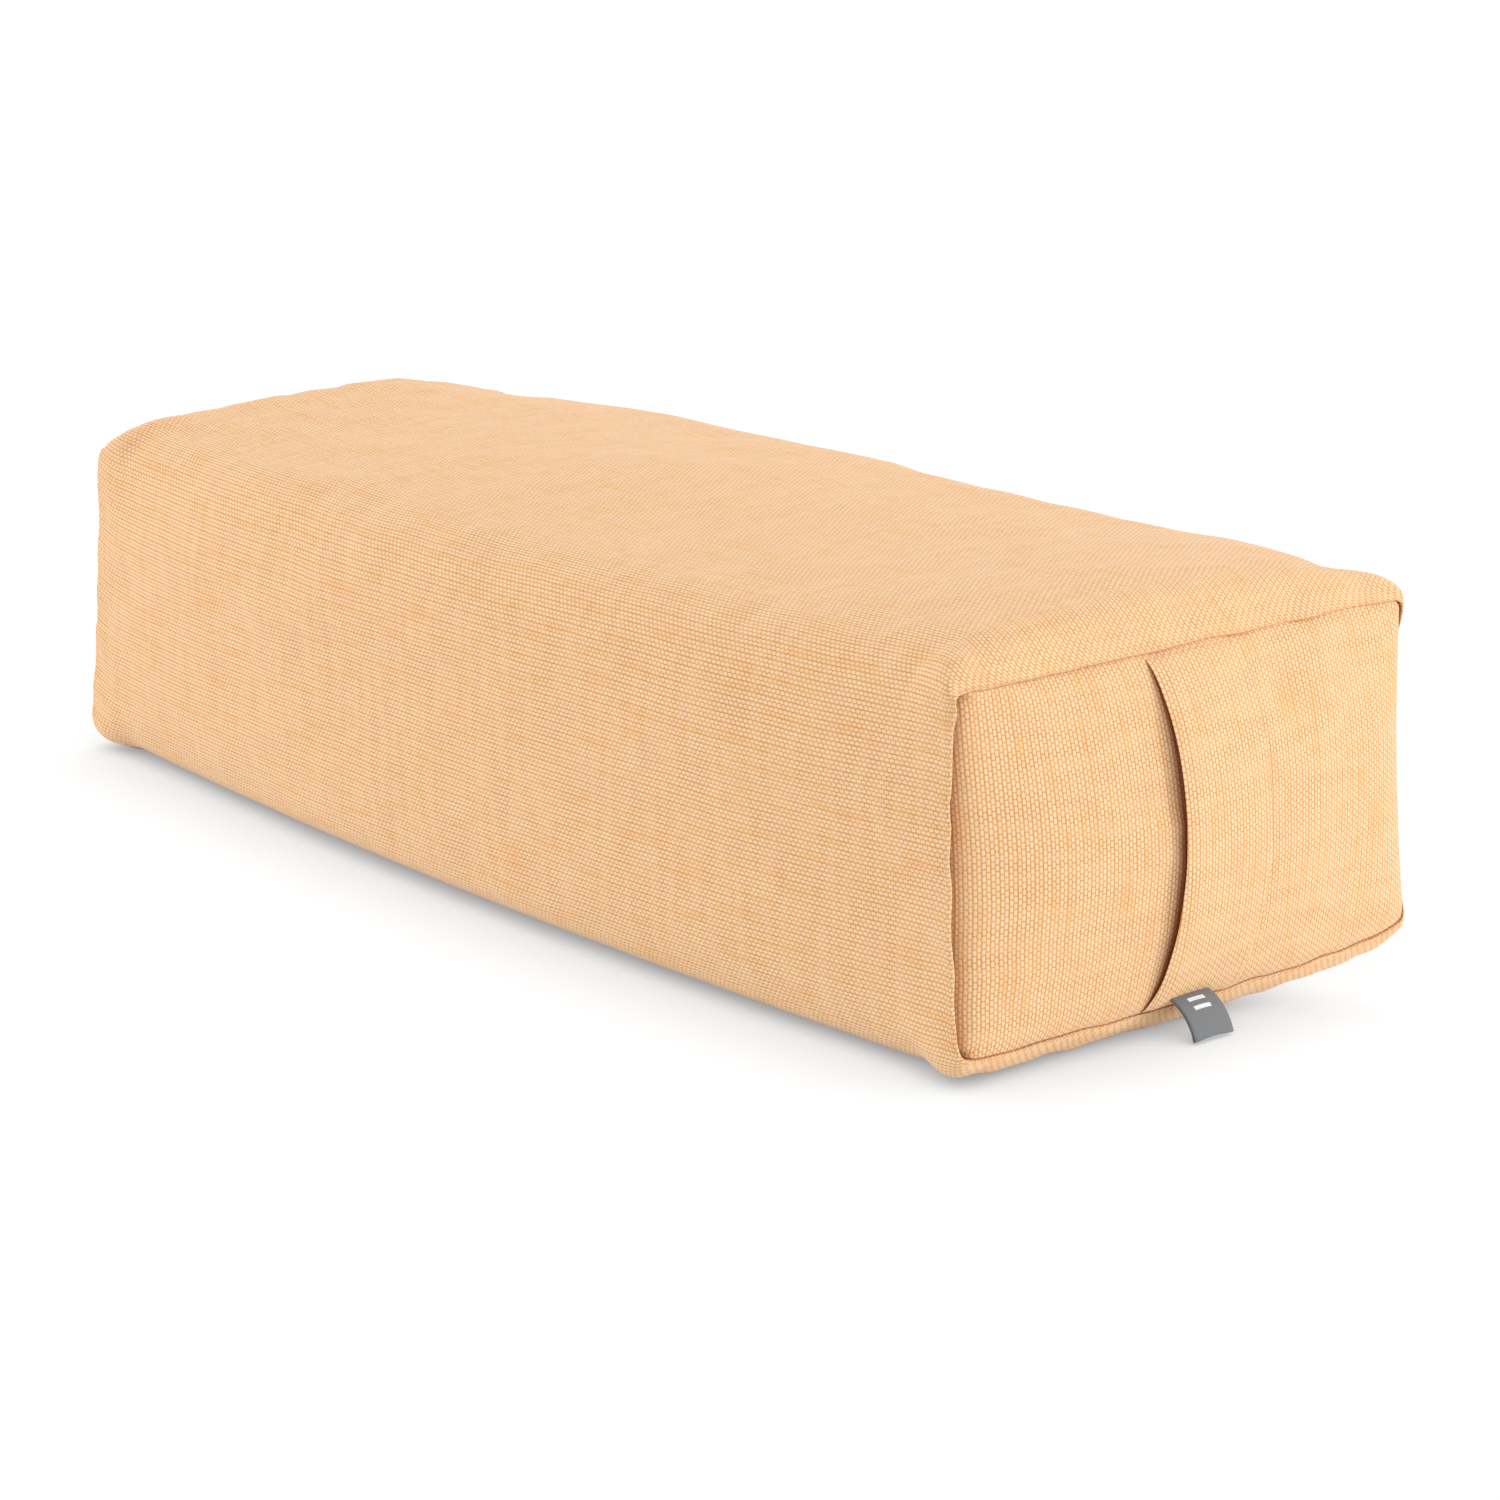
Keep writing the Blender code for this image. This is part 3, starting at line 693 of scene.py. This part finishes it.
def make_panel(name, end, node):
    rows, columns = PANEL_ROWS, PANEL_COLUMNS
    points, p, q = panel_points(end)
    # creases that hang from the top seam and lift from the bottom corners
    crease = np.exp(-((p - 1) / 0.5) ** 2) * (1 - p ** 8) * waves(points * (0, 1, 0.12), 0.030, 21 + end)
    corner = np.exp(-((np.abs(q) - 1) / 0.3) ** 2 - ((p + 1) / 0.4) ** 2) * (1 - p ** 8) * (1 - q ** 8)
    corner *= waves(points * (0, 0.6, 1), 0.022, 31 + end)
    uneven = waves(points, 0.09, 41) * (1 - p ** 4) * (1 - q ** 4)
    points[..., 0] += end * (0.0011 * crease + 0.0012 * corner + 0.0008 * uneven)
    inside = 0.5 * ((1 - p ** 10) * (1 - q ** 10))[..., None]
    points += (wrinkle(points) - points) * inside
    index = border_index(rows, columns)
    border = points.reshape(-1, 3)[index]
    # the hem runs back and out to the inside of the wrap
    loop_q, loop_p = q.reshape(-1)[index], p.reshape(-1)[index]
    depth = HEM_DEPTH + 0.0030 * (1 - smoothstep(-1, 1, loop_q))
    inside_wrap = cushion_points(end * (1 - depth / HALF), loop_q, loop_p, HEM_INSET)
    hem = [border + (inside_wrap - border) * k for k in (0.12, 0.5, 1.0)]
    flat = np.concatenate([points.reshape(-1, 3)] + hem)
    faces = grid_faces(rows, columns, flip=end < 0)
    size = len(index)
    hem_index = np.arange(rows * columns, len(flat)).reshape(len(hem), size)
    rings = [index.tolist()] + hem_index.tolist()
    for ring, after in zip(rings, rings[1:]):
        for k in range(size):
            n = (k + 1) % size
            face = (ring[k], after[k], after[n], ring[n])
            faces.append(face if end > 0 else face[::-1])
    across = arc_lengths(points, 1, columns // 2)
    along = arc_lengths(points, 0, rows // 2)
    # painted shade of the groove along the seam on the plain side: deepest under the near top corner
    groove = (1 - smoothstep(-1, 1, q)) * (0.35 + 0.65 * np.exp(-(1 - p) * HEIGHT / 2 / 0.02))
    groove = groove * np.exp(-(1 + q) * WIDTH / 2 / 0.0016)
    # and less painted shade beside the top and bottom seams
    beside = np.exp(-((1 - np.abs(p)) * HEIGHT / 2 / 0.004) ** 2)
    groove -= SEAM_SHADE_CUT * beside * smoothstep(0, 0.008, (1 - np.abs(q)) * WIDTH / 2)
    weave = np.stack([across, along, groove], -1).reshape(-1, 3)
    edge = weave[index] * (1, 1, 0)
    # painted shade on the hems of the upright seams, darkest on the plain side
    upright_shade = 0.25 + 0.55 * (1 - smoothstep(-1, 1, loop_q))
    edge[:, 2] = np.where(np.abs(loop_q) > 0.999, upright_shade, -SEAM_SHADE_CUT)
    hem_weave = [edge + (0.001 * k, 0.001 * k, 0) for k in range(1, len(hem) + 1)]
    weave = np.concatenate([weave] + hem_weave)
    panel = make_object(name, flat, faces, weave)
    thicken(panel, FABRIC, -1)
    finish_piece(panel, COVER, replaces=[node])


# ---------------- handle band and tag

def signed_power(value, power):
    return np.sign(value) * np.abs(value) ** power


def band_points(low, high):
    """Closed oval sections of the band, between two parts of the end's half height."""
    ring = np.linspace(0, 2 * pi, BAND_SIDES, endpoint=False)
    flat, thick = signed_power(np.cos(ring), 0.35), signed_power(np.sin(ring), 0.8)
    up = np.linspace(low, high, BAND_ROWS)[:, None]
    side = (1 + flat[None, :]) / 2
    own = BAND_WIDTH / 2 * flat[None, :] + 0 * up
    y = own + BAND_MIDDLE_Y + BAND_LEAN * up - BAND_BOW * up ** 2
    z = LIFT + HEIGHT / 2 + (HEIGHT / 2 - 0.0022) * up + 0 * y
    q = y / (WIDTH / 2)
    dome = END_DOME * (1 - up ** 2) ** DOME_POWER * (1 - 0.6 * q ** 2)
    stand_off = BAND_STAND_OFF[-1] + (BAND_STAND_OFF[1] - BAND_STAND_OFF[-1]) * side
    gap = stand_off * np.clip(1 - up ** 2, 0, 1) ** 0.6
    base = settle(np.stack([np.full_like(y, HALF), y, z], -1))
    bow = SEAM_BOW * (1 - up ** 2)
    # the hems of the folded band show as a ridge and a crease beside its edges
    outer = np.clip(thick[None, :], 0, 1)
    ridge = 0.0005 * np.exp(-((own + BAND_WIDTH / 2 - 0.0065) / 0.0030) ** 2)
    ridge = ridge - 0.0004 * np.exp(-((own - BAND_WIDTH / 2 + 0.0045) / 0.0018) ** 2)
    body = BAND_THICKNESS / 2 * (1 + thick[None, :]) + ridge * outer
    base[..., 0] += dome + bow + gap + 0.0006 + body
    return base


def make_band():
    """The band in two halves, each from its seam to the middle of the grip."""
    for name, top, nodes in (("handle_band_upper", True, ["handle_strap_top", "handle_grip"]),
                             ("handle_band_lower", False, ["handle_strap_bottom"])):
        points = band_points(*((0.0, 1.0) if top else (-1.0, 0.0)))
        along = arc_lengths(points, 0, 0 if top else BAND_ROWS - 1)
        weave = np.stack([points[..., 1], along], -1)
        band = make_object(name, points, grid_faces(BAND_ROWS, BAND_SIDES, closed=True), weave)
        finish_piece(band, COVER, body=None, replaces=nodes)
        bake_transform(band)


def make_tag():
    """Folded woven tag: out along its top layer, round the fold, and back underneath."""
    low, high = corners("label")
    root_low, root_high = corners("label_seam_end")
    reach = high[0] - root_low[0] - 0.0008
    start = np.array((root_low[0] - 0.004, root_high[2] + 0.0084))
    t = np.linspace(0, 1, 26)
    turn = t * pi / 3
    top_x = root_low[0] + reach * np.sin(turn) / sin(pi / 3)
    top_z = start[1] - TAG_CURL * (1 - np.cos(turn)) * 2
    path = [start] + [np.array((x, z)) for x, z in zip(top_x, top_z)]
    last = path[-1]
    direction = (last - path[-2]) / np.linalg.norm(last - path[-2])
    side = np.array((direction[1], -direction[0]))
    for angle in np.radians([30, 60, 90, 120, 150, 180]):
        path.append(last + side * 0.0006 * (1 - cos(angle)) + direction * 0.0006 * sin(angle))
    # the lower layer follows the top one back to the seam
    path = np.array(path + [point + side * 0.0009 for point in path[24:1:-1]])
    path[:, 1] = np.maximum(path[:, 1], 0.0006)
    columns = np.linspace(-TAG_WIDTH / 2, TAG_WIDTH / 2, TAG_COLUMNS)
    points = np.stack([np.repeat(path[:, :1], TAG_COLUMNS, 1), np.repeat(columns[None], len(path), 0) + TAG_Y,
                       np.repeat(path[:, 1:], TAG_COLUMNS, 1)], -1)
    cup = 0.0004 * np.cos(np.linspace(-1, 1, TAG_COLUMNS) * pi)[None]
    points[..., 2] += cup * smoothstep(0, 0.012, points[..., 0] - root_low[0])
    along = arc_lengths(points, 0, 1)
    across = points[..., 1] - TAG_Y
    points[..., 1] -= TAG_SKEW * smoothstep(high[0], root_low[0], points[..., 0])
    tag = make_object("seam_tag", points, grid_faces(*points.shape[:2]), np.stack([across, along], -1))
    thicken(tag, TAG_THICKNESS, 0)
    finish_piece(tag, TAG, body=None, replaces=["label", "label_seam_end"])
    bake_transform(tag)


# ---------------- inner bag and filling

def closed_cushion(inset, dome, upright, level, rows, scales, shorter=0.0):
    """Points in rings along the cushion and over both domed ends, and the faces between them."""
    legs = [(1.0, v) for v in spread(-1, 1, upright)[:-1]] + [(v, 1.0) for v in spread(1, -1, level)[:-1]]
    legs += [(-1.0, v) for v in spread(1, -1, upright)[:-1]] + [(v, -1.0) for v in spread(-1, 1, level)[:-1]]
    legs = np.array(legs)
    u = np.sin(pi / 2 * np.linspace(-1, 1, rows))[:, None] * (1 - (inset + shorter) / HALF)
    points = cushion_points(u, legs[None, :, 0], legs[None, :, 1], inset)
    caps = {}
    for end, ring in ((1, points[-1]), (-1, points[0])):
        centre = ring.mean(0)
        rings = []
        for scale in scales:
            inner = centre + (ring - centre) * scale
            square = (1 - (scale * legs[:, 0]) ** 2) * (1 - (scale * legs[:, 1]) ** 2)
            inner[:, 0] += end * dome * square ** 0.8
            rings.append(inner)
        caps[end] = np.array(rings)
    points = np.concatenate([caps[-1][::-1], points, caps[1]])
    rows, columns = points.shape[:2]
    faces = grid_faces(rows, columns, closed=True, flip=True)
    faces.append(tuple(range(columns)))
    faces.append(tuple((rows - 1) * columns + k for k in range(columns - 1, -1, -1)))
    return points, faces


def make_closed_cushion(name, inset, dome, material, nodes):
    points, faces = closed_cushion(inset, dome, 16, 24, 40, (0.85, 0.65, 0.4, 0.15), BAG_SHORTER)
    return finish_piece(make_object(name, points, faces), material, replaces=nodes)


# ---------------- zip

def coil_points(side):
    """One row of the zip: a flattened helix whose heads reach the other row."""
    turns = int((ZIP_HIGH[0] - ZIP_LOW[0]) / COIL_PITCH)
    per_turn = 10
    t = np.arange(turns * per_turn + 1) / per_turn
    phase = 2 * pi * t
    x = ZIP_LOW[0] + COIL_PITCH * t + (COIL_PITCH / 2 if side < 0 else 0)
    middle_y = (ZIP_LOW[1] + ZIP_HIGH[1]) / 2
    y = middle_y + 0.00050 * np.sin(phase)
    z = ZIP_Z + side * (0.0013 - 0.0016 * np.cos(phase))
    return np.stack([x, y, z], -1)


def tube(line, radius, sides=5):
    """Round tube along a line, with closed ends."""
    tangent = np.gradient(line, axis=0)
    tangent /= np.linalg.norm(tangent, axis=1, keepdims=True)
    reference = np.array((0.3, 1.0, 0.2))
    first = np.cross(tangent, reference)
    first /= np.linalg.norm(first, axis=1, keepdims=True)
    second = np.cross(tangent, first)
    angle = np.linspace(0, 2 * pi, sides, endpoint=False)
    around = np.cos(angle)[None, :, None] * first[:, None] + np.sin(angle)[None, :, None] * second[:, None]
    points = line[:, None] + radius * around
    faces = grid_faces(len(line), sides, closed=True)
    faces.append(tuple(range(sides))[::-1])
    faces.append(tuple((len(line) - 1) * sides + k for k in range(sides)))
    return points, faces


def make_coils():
    for side, row in ((1, "upper"), (-1, "lower")):
        coil = make_object("zip_coil_row_" + row, *tube(coil_points(side), COIL_RADIUS))
        finish_piece(coil, COIL, replaces=["zip_coil_" + row])


def rounded_box(low, high, bevel, segments=3):
    """Points and faces of a box with rounded edges, from a bevelled cube."""
    bm = bmesh.new()
    bmesh.ops.create_cube(bm, size=1.0)
    low, high = np.array(low), np.array(high)
    bmesh.ops.scale(bm, verts=bm.verts, vec=high - low)
    bmesh.ops.translate(bm, verts=bm.verts, vec=(low + high) / 2)
    edges = list(bm.edges)
    bmesh.ops.bevel(bm, geom=edges, offset=bevel, segments=segments, affect='EDGES', profile=0.5)
    points = np.array([vert.co for vert in bm.verts])
    bm.verts.index_update()
    faces = [tuple(vert.index for vert in face.verts) for face in bm.faces]
    bm.free()
    return points, faces


def join_shapes(shapes):
    """One set of points and faces from several."""
    points, faces, start = [], [], 0
    for part_points, part_faces in shapes:
        part_points = part_points.reshape(-1, 3)
        points.append(part_points)
        faces += [tuple(start + k for k in face) for face in part_faces]
        start += len(part_points)
    return np.concatenate(points), faces


def ring_plate(outer, inner, low_y, high_y):
    """Flat plate between two outlines of (x, z) points, from low_y to high_y."""
    count = len(outer)
    rows = []
    for outline, y in ((outer, low_y), (outer, high_y), (inner, high_y), (inner, low_y)):
        rows.append(np.stack([outline[:, 0], np.full(count, y), outline[:, 1]], -1))
    points = np.array(rows)
    faces = grid_faces(4, count, closed=True)
    faces += [(3 * count + k, 3 * count + (k + 1) % count, (k + 1) % count, k) for k in range(count)]
    return points, faces


def slab_outline(length, width, corner, count=48):
    """Rounded rectangle from x = 0 to -length, centred on z = 0."""
    angle = np.linspace(0, 2 * pi, count, endpoint=False)
    x = signed_power(np.cos(angle), corner) * length / 2 - length / 2
    z = signed_power(np.sin(angle), corner) * width / 2
    return np.stack([x, z], -1)


def make_slider():
    low, high = SLIDER_LOW, SLIDER_HIGH
    x = (low[0] + high[0]) / 2
    plate = WALL_Y + 0.0011
    # two plates, the post between them and the flanges that hold the rows
    shapes = []
    for y_low, y_high in ((plate - 0.0010, plate), (low[1], low[1] + 0.0010)):
        shapes.append(rounded_box((low[0], y_low, low[2]), (high[0], y_high, high[2]), 0.00045))
    post_low = (high[0] - 0.003, low[1] + 0.0005, ZIP_Z - 0.0004)
    post_high = (high[0] - 0.001, plate - 0.0004, ZIP_Z + 0.0004)
    shapes.append(rounded_box(post_low, post_high, 0.0001, 1))
    for side in (-1, 1):
        z = ZIP_Z + side * (high[2] - low[2]) / 2
        z_low, z_high = sorted((z, z - side * 0.0006))
        flange_low = (low[0] + 0.0004, plate - 0.0018, z_low)
        flange_high = (high[0] - 0.0004, plate - 0.0005, z_high)
        shapes.append(rounded_box(flange_low, flange_high, 0.0002, 2))
    # the bail that holds the pull, flattened so that it is wider than deep
    bail = np.array([(x - 0.0028 + 0.0056 * k / 16, plate - 0.0003 + 0.0025 * sin(pi * k / 16) ** 0.5, ZIP_Z)
                     for k in range(17)])
    points, faces = tube(bail, 0.00045, 8)
    points[..., 2] = ZIP_Z + (points[..., 2] - ZIP_Z) * 1.6
    shapes.append((points, faces))
    slider = make_object("zip_slider_body", *join_shapes(shapes))
    slider.data.set_sharp_from_angle(angle=radians(50))
    finish_piece(slider, METAL, body="slider", replaces=["zip_slider"])


def make_pull():
    low, high = PULL_LOW, PULL_HIGH
    length, width = high[0] - low[0], high[2] - low[2]
    outer = slab_outline(length, width, 0.45)
    # the eye that the bail passes through
    angle = np.linspace(0, 2 * pi, len(outer), endpoint=False)
    inner = np.stack([signed_power(np.cos(angle), 0.5) * 0.00185 - 0.00285,
                      signed_power(np.sin(angle), 0.5) * 0.0014], -1)
    for outline in (outer, inner):
        outline += (high[0], ZIP_Z)
    frame_shape = ring_plate(outer, inner, low[1], high[1])
    dimple = slab_outline(0.0120, width * 0.55, 0.6) + (high[0] - 0.0085, ZIP_Z)
    rim = slab_outline(0.0136, width * 0.74, 0.6) + (high[0] - 0.0077, ZIP_Z)
    raised = ring_plate(rim, dimple, high[1] - 0.0001, high[1] + 0.00025)
    pull = make_object("zip_pull_tab", *join_shapes([frame_shape, raised]))
    bevel = pull.modifiers.new("edges", 'BEVEL')
    bevel.width = 0.00022
    bevel.segments = 2
    bevel.limit_method = 'ANGLE'
    finish_piece(pull, METAL, body="pull", replaces=["zip_pull"])
    pull.data.set_sharp_from_angle(angle=radians(40))


def make_stops():
    for node in ("zip_top_stop_upper", "zip_top_stop_lower", "zip_bottom_stop"):
        low, high = corners(node)
        middle = (low[0] + high[0]) / 2
        ridge_low = (middle - 0.0005, high[1] - 0.0002, low[2] + 0.0003)
        ridge_high = (middle + 0.0005, high[1] + 0.0002, high[2] - 0.0003)
        shapes = [rounded_box(low, high, 0.00045), rounded_box(ridge_low, ridge_high, 0.00018, 2)]
        stop = make_object(node + "_crimp", *join_shapes(shapes))
        finish_piece(stop, METAL, replaces=[node])


def make_stitches():
    """Two rows of lockstitch either side of the zip slot."""
    shapes = []
    for side in (1, -1):
        z = ZIP_Z + side * STITCH_ROW
        for k in range(int(2 * SLOT_HALF_LENGTH / STITCH_PITCH)):
            x = -SLOT_HALF_LENGTH + STITCH_PITCH * (k + 0.5)
            line = np.array([(x + STITCH_LENGTH * (s - 0.5), WALL_Y + 0.00012 + 0.0003 * sin(pi * s), z)
                             for s in np.linspace(0, 1, 6)])
            shapes.append(tube(line, THREAD_RADIUS, 6))
    stitches = make_object("zip_stitching", *join_shapes(shapes))
    finish_piece(stitches, THREAD)


# ---------------- stage, light and camera

def floor_paper():
    """White paper that glows, with painted shadow in its glow where the cushion closes in on it."""
    n = Nodes("floor_paper")
    broad, close = n.ramp(n.open_air(0.07), -0.9, 1.0), n.ramp(n.open_air(0.012), -1.6, 1.0)
    shade = n.math('MULTIPLY', broad, close)
    # painted lamp light: the painted shadow is lifted beyond the handle end on the zip side, where the key
    # lamp falls
    x, y, _ = n.parts(n.place())
    painted_lamp_light = n.math('MULTIPLY', n.ramp(y, -0.03, 0.09), n.ramp(x, 0.26, 0.31))
    shade = n.math('MAXIMUM', shade, n.math('MULTIPLY', painted_lamp_light, 0.985))
    n.set(Base_Color=(0.10, 0.10, 0.10, 1.0), Roughness=0.95, Emission_Color=(1.0, 1.0, 1.0, 1.0))
    n.set(Emission_Strength=n.math('MULTIPLY', shade, 0.93))
    n.shader.inputs["Specular IOR Level"].default_value = 0.0
    return n.material


def make_stage():
    half = 15
    square = np.array([(-half, -half, 0), (half, -half, 0), (half, half, 0), (-half, half, 0)], float)
    floor = make_object("floor", square, [(0, 1, 2, 3)], smooth=False)
    floor.data.materials.append(floor_paper())
    floor.location.z = -0.0002


def add_lamp(name, place, size, power):
    """Round area lamp aimed at the cushion's middle."""
    light = bpy.data.lights.new(name, 'AREA')
    light.shape = 'DISK'
    light.size = size
    light.energy = power
    lamp = bpy.data.objects.new(name, light)
    lamp.location = place
    lamp.rotation_euler = (Vector((0, 0, 0.08)) - Vector(place)).to_track_quat('-Z', 'Y').to_euler()
    bpy.context.scene.collection.objects.link(lamp)


def make_light():
    world = bpy.data.worlds.new("studio")
    world.use_nodes = True
    background = world.node_tree.nodes["Background"]
    background.inputs["Color"].default_value = (1.0, 1.0, 1.0, 1.0)
    background.inputs["Strength"].default_value = 1.0
    bpy.context.scene.world = world
    add_lamp("key", (1.9, 1.5, 0.5), 1.0, 24)
    add_lamp("top", (-0.6, 0.8, 2.6), 2.0, 8)
    add_lamp("left", (-2.4, -1.3, 0.45), 1.0, 21)


CAMERA_AZIMUTH = 50.58
CAMERA_ELEVATION = 16.0
CAMERA_DISTANCE = 2.092
CAMERA_RIGHT = 0.0246
CAMERA_UP = 0.0445
FOCAL_LENGTH = 107.4     # in mm, for a 36 mm sensor


def make_camera():
    azimuth, elevation = radians(CAMERA_AZIMUTH), radians(CAMERA_ELEVATION)
    right = Vector((cos(azimuth), sin(azimuth), 0))
    back = Vector((sin(azimuth) * cos(elevation), -cos(azimuth) * cos(elevation), sin(elevation)))
    up = back.cross(right)
    data = bpy.data.cameras.new("camera")
    data.lens = FOCAL_LENGTH
    data.sensor_width = 36.0
    camera = bpy.data.objects.new("camera", data)
    place = back * CAMERA_DISTANCE + right * CAMERA_RIGHT + up * CAMERA_UP
    turn = Matrix((right, up, back)).transposed().to_4x4()
    camera.matrix_world = Matrix.Translation(place) @ turn
    bpy.context.scene.collection.objects.link(camera)
    bpy.context.scene.camera = camera


WRINKLES = simulate_wrinkles()

make_camera()
make_closed_cushion("inner_bag_cotton", BAG_INSET, BAG_DOME, COTTON,
                    ["inner_wrap", "inner_end_front", "inner_end_rear"])
stuffing = make_closed_cushion("fibre_stuffing", FILLING_INSET, FILLING_DOME, FIBRE,
                               ["filling"])
make_wrap()
make_panel("end_panel_front_fabric", 1, "end_panel_front")
make_panel("end_panel_rear_fabric", -1, "end_panel_rear")
make_band()
make_tag()
make_coils()
for node in ("zip_tape_upper", "zip_tape_lower"):
    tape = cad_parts[node]
    tape.data.materials.clear()
    tape.data.materials.append(TAPE)
make_slider()
make_pull()
make_stops()
make_stitches()
make_stage()
make_light()
bpy.context.scene.view_settings.view_transform = 'Standard'
